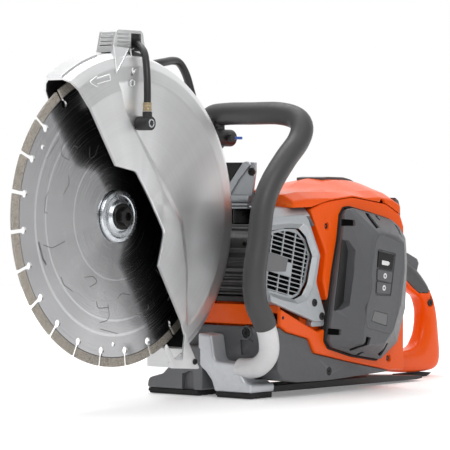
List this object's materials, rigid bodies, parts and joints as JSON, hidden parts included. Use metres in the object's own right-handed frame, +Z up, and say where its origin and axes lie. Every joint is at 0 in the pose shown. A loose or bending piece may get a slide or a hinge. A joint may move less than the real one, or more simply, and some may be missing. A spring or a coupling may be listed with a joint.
{
  "type": "rescue saw",
  "caption": "Battery cut-off rescue saw: large toothed disc in a turning guard, wrap-round front handle, slide-in side battery, rear loop handle with trigger.",
  "frame": {"origin": "middle of the whole machine's base, on the floor", "axes": "+X from the blade to the rear handle, +Y from the battery side to the belt side, +Z up"},
  "size_m": [0.8156, 0.228, 0.437],
  "materials": {
    "body_orange": "glossy moulded orange",
    "dark_plastic": "fine matte grain",
    "black_plastic": "matte black",
    "silver_cast": "satin silver paint on cast light alloy",
    "grey_cast": "grey casting",
    "copper_winding": "copper",
    "black_rubber": "matte",
    "grip_rubber": "soft satin",
    "bare_tube": "brushed",
    "blade_steel": "radially brushed",
    "bright_steel": "bright",
    "circuit_board": "lacquered",
    "valve_blue": "smooth",
    "display": "smooth"
  },
  "bodies": {
    "machine": {"left_housing": "body_orange", "right_housing": "body_orange", "top_cover": "body_orange", "top_trim": "dark_plastic", "keypad_panel": "dark_plastic", "lower_cover": "dark_plastic", "air_inlet_cover": "silver_cast", "inlet_screen": "black_plastic", "motor_housing": "grey_cast", "motor_cradle": "black_plastic", "motor_stator": "copper_winding", "cutting_arm": "silver_cast", "belt_cover": "silver_cast", "drive_belt": "black_rubber", "arbor_bearing_inner": "bright_steel", "arbor_bearing_outer": "bright_steel", "front_handle_tube": "bare_tube", "front_handle_sleeve": "grip_rubber", "handle_bracket": "silver_cast", "handle_isolator": "black_rubber", "front_foot_left": "silver_cast", "front_foot_right": "grey_cast", "foot_pad_left": "black_rubber", "foot_pad_right": "black_rubber", "skid_rail": "black_plastic", "rear_handle": "body_orange", "rear_grip_insert": "grip_rubber", "rear_foot_pad": "black_rubber", "battery_tray": "black_plastic", "battery_terminal": "copper_winding", "control_board": "circuit_board", "board_heat_sink": "silver_cast", "water_valve": "black_plastic"},
    "blade_set": {"blade": "blade_steel", "inner_flange": "bright_steel", "outer_flange": "bright_steel", "arbor_shaft": "bright_steel", "arbor_bolt": "grey_cast", "driven_pulley": "grey_cast"},
    "motor_set": {"motor_rotor": "bright_steel", "drive_pulley": "grey_cast", "cooling_fan": "black_plastic"},
    "guard": {"guard_shell": "silver_cast", "guard_grip": "silver_cast", "guard_tail": "silver_cast", "hose_tee": "black_plastic", "spray_elbow_left": "black_plastic", "spray_elbow_right": "black_plastic", "spray_hose_left": "black_rubber", "spray_hose_right": "black_rubber", "supply_hose": "black_rubber"},
    "valve_lever": {"valve_lever": "valve_blue"},
    "battery": {"battery_cover": "dark_plastic", "battery_case": "black_plastic", "battery_display": "display"},
    "upper_button": {"battery_button_upper": "dark_plastic"},
    "lower_button": {"battery_button_lower": "dark_plastic"},
    "trigger": {"trigger": "dark_plastic"},
    "lockout": {"lockout_lever": "dark_plastic"},
    "power_button": {"power_button": "grip_rubber"}
  },
  "joints": [
    {"name": "blade_spin", "type": "hinge", "parent": "machine", "child": "blade_set", "pos_m": [-0.23285, 0.019, 0.22], "axis": [0, -1, 0], "continuous": true},
    {"name": "motor_spin", "type": "hinge", "parent": "machine", "child": "motor_set", "pos_m": [0.00515, 0.019, 0.165], "axis": [0, -1, 0], "continuous": true},
    {"name": "guard_turn", "type": "hinge", "parent": "machine", "child": "guard", "pos_m": [-0.23285, 0.019, 0.22], "axis": [0, -1, 0], "range_deg": [0, 25]},
    {"name": "valve_turn", "type": "hinge", "parent": "machine", "child": "valve_lever", "pos_m": [-0.00385, 0.035, 0.314], "axis": [0, 1, 0], "range_deg": [0, 90]},
    {"name": "battery_slide", "type": "slide", "parent": "machine", "child": "battery", "axis": [0, -1, 0], "range_m": [0, 0.15]},
    {"name": "upper_button_press", "type": "slide", "parent": "battery", "child": "upper_button", "axis": [0, 1, 0], "range_m": [0, 0.0009], "stiffness_N_per_m": 900},
    {"name": "lower_button_press", "type": "slide", "parent": "battery", "child": "lower_button", "axis": [0, 1, 0], "range_m": [0, 0.0009], "stiffness_N_per_m": 900},
    {"name": "trigger_pull", "type": "hinge", "parent": "machine", "child": "trigger", "pos_m": [0.28615, 0.019, 0.15], "axis": [0, -1, 0], "range_deg": [0, 10], "stiffness_Nm_per_rad": 0.8, "springref_deg": -20.05},
    {"name": "lockout_press", "type": "hinge", "parent": "machine", "child": "lockout", "pos_m": [0.30815, 0.019, 0.164], "axis": [0, 1, 0], "range_deg": [0, 7], "stiffness_Nm_per_rad": 0.5, "springref_deg": -20.05},
    {"name": "power_press", "type": "slide", "parent": "machine", "child": "power_button", "axis": [-1, 0, 0], "range_m": [0, 0.001], "stiffness_N_per_m": 900}
  ],
  "couplings": [
    {"joint": "motor_spin", "follows": "blade_spin", "ratio": 2}
  ]
}
